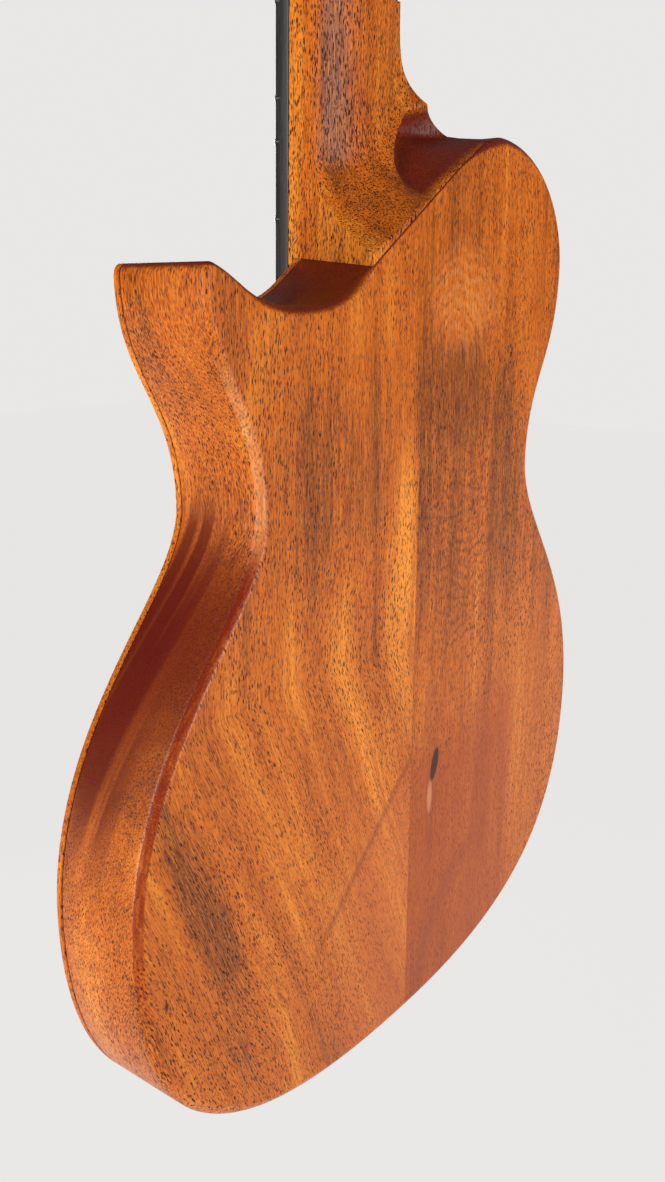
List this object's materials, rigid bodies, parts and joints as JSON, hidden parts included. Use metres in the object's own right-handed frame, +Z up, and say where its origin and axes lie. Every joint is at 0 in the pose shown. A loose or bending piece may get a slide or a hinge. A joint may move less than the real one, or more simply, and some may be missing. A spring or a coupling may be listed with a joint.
{
  "type": "stick dulcimer",
  "caption": "Guitar-shaped stick dulcimer with one cutaway: carved mahogany body, long neck with shaped heel, diatonic frets, steel strings and geared tuners.",
  "frame": {"origin": "on the soundboard's plane at the instrument's centre line, under the playing edge of the nut, where the prongs of a wall hanger hold it", "axes": "+Z up the neck towards the head, +Y out of the soundboard, -Y out of the carved back, +X towards the bass side; the cutaway is on -X"},
  "size_m": [0.2776, 0.0511, 0.8354],
  "materials": {
    "body_wood": "satin oiled mahogany, open pores",
    "neck_wood": "satin oiled mahogany, open pores",
    "top_wood": "bare spruce",
    "dark_wood": "oiled ebony",
    "bone": "polished bone",
    "fret_wire": "polished nickel silver",
    "string_steel": "plain and wound steel",
    "plated_metal": "nickel plate",
    "brass": "machined brass",
    "hidden_steel": "turned steel",
    "button_black": "polished black"
  },
  "bodies": {
    "instrument": {"body_treble_half": "body_wood", "body_bass_half": "body_wood", "bridge_plate": "body_wood", "soundboard": "body_wood", "brace_upper": "top_wood", "brace_lower": "top_wood", "neck": "neck_wood", "neck_bar": "hidden_steel", "neck_bolt_treble": "hidden_steel", "neck_bolt_bass": "hidden_steel", "neck_insert_treble": "brass", "neck_insert_bass": "brass", "fingerboard": "dark_wood", "head_overlay": "dark_wood", "bridge": "dark_wood", "bridge_pin_1": "dark_wood", "bridge_pin_2": "dark_wood", "bridge_pin_3": "dark_wood", "bridge_pin_4": "dark_wood", "fret_1": "fret_wire", "fret_2": "fret_wire", "fret_3": "fret_wire", "fret_4": "fret_wire", "fret_5": "fret_wire", "fret_6": "fret_wire", "fret_7": "fret_wire", "fret_8": "fret_wire", "fret_9": "fret_wire", "fret_10": "fret_wire", "fret_11": "fret_wire", "fret_12": "fret_wire", "fret_13": "fret_wire", "fret_14": "fret_wire", "nut": "bone", "saddle": "bone", "string_1": "string_steel", "string_2": "string_steel", "string_3": "string_steel", "string_4": "string_steel", "tuner_plate_1": "plated_metal", "tuner_plate_2": "plated_metal", "tuner_plate_3": "plated_metal", "tuner_plate_4": "plated_metal"},
    "knob_1": {"tuner_worm_1": "hidden_steel", "tuner_button_1": "button_black"},
    "post_1": {"tuner_post_1": "plated_metal", "tuner_gear_1": "brass"},
    "knob_2": {"tuner_worm_2": "hidden_steel", "tuner_button_2": "button_black"},
    "post_2": {"tuner_post_2": "plated_metal", "tuner_gear_2": "brass"},
    "knob_3": {"tuner_worm_3": "hidden_steel", "tuner_button_3": "button_black"},
    "post_3": {"tuner_post_3": "plated_metal", "tuner_gear_3": "brass"},
    "knob_4": {"tuner_worm_4": "hidden_steel", "tuner_button_4": "button_black"},
    "post_4": {"tuner_post_4": "plated_metal", "tuner_gear_4": "brass"}
  },
  "joints": [
    {"name": "knob_1_turn", "type": "hinge", "parent": "instrument", "child": "knob_1", "pos_m": [0.017, -0.018, 0.02924], "axis": [1, 0, 0], "continuous": true},
    {"name": "post_1_turn", "type": "hinge", "parent": "instrument", "child": "post_1", "pos_m": [0.017, -0.00151, 0.04125], "axis": [0, 0.9903, 0.1392], "continuous": true},
    {"name": "knob_2_turn", "type": "hinge", "parent": "instrument", "child": "knob_2", "pos_m": [0.017, -0.02524, 0.08073], "axis": [1, 0, 0], "continuous": true},
    {"name": "post_2_turn", "type": "hinge", "parent": "instrument", "child": "post_2", "pos_m": [0.017, -0.00875, 0.09274], "axis": [0, 0.9903, 0.1392], "continuous": true},
    {"name": "knob_3_turn", "type": "hinge", "parent": "instrument", "child": "knob_3", "pos_m": [-0.017, -0.02524, 0.08073], "axis": [-1, 0, 0], "continuous": true},
    {"name": "post_3_turn", "type": "hinge", "parent": "instrument", "child": "post_3", "pos_m": [-0.017, -0.00875, 0.09274], "axis": [0, 0.9903, 0.1392], "continuous": true},
    {"name": "knob_4_turn", "type": "hinge", "parent": "instrument", "child": "knob_4", "pos_m": [-0.017, -0.018, 0.02924], "axis": [-1, 0, 0], "continuous": true},
    {"name": "post_4_turn", "type": "hinge", "parent": "instrument", "child": "post_4", "pos_m": [-0.017, -0.00151, 0.04125], "axis": [0, 0.9903, 0.1392], "continuous": true}
  ],
  "couplings": [
    {"joint": "post_1_turn", "follows": "knob_1_turn", "ratio": 0.071429},
    {"joint": "post_2_turn", "follows": "knob_2_turn", "ratio": 0.071429},
    {"joint": "post_3_turn", "follows": "knob_3_turn", "ratio": -0.071429},
    {"joint": "post_4_turn", "follows": "knob_4_turn", "ratio": -0.071429}
  ]
}
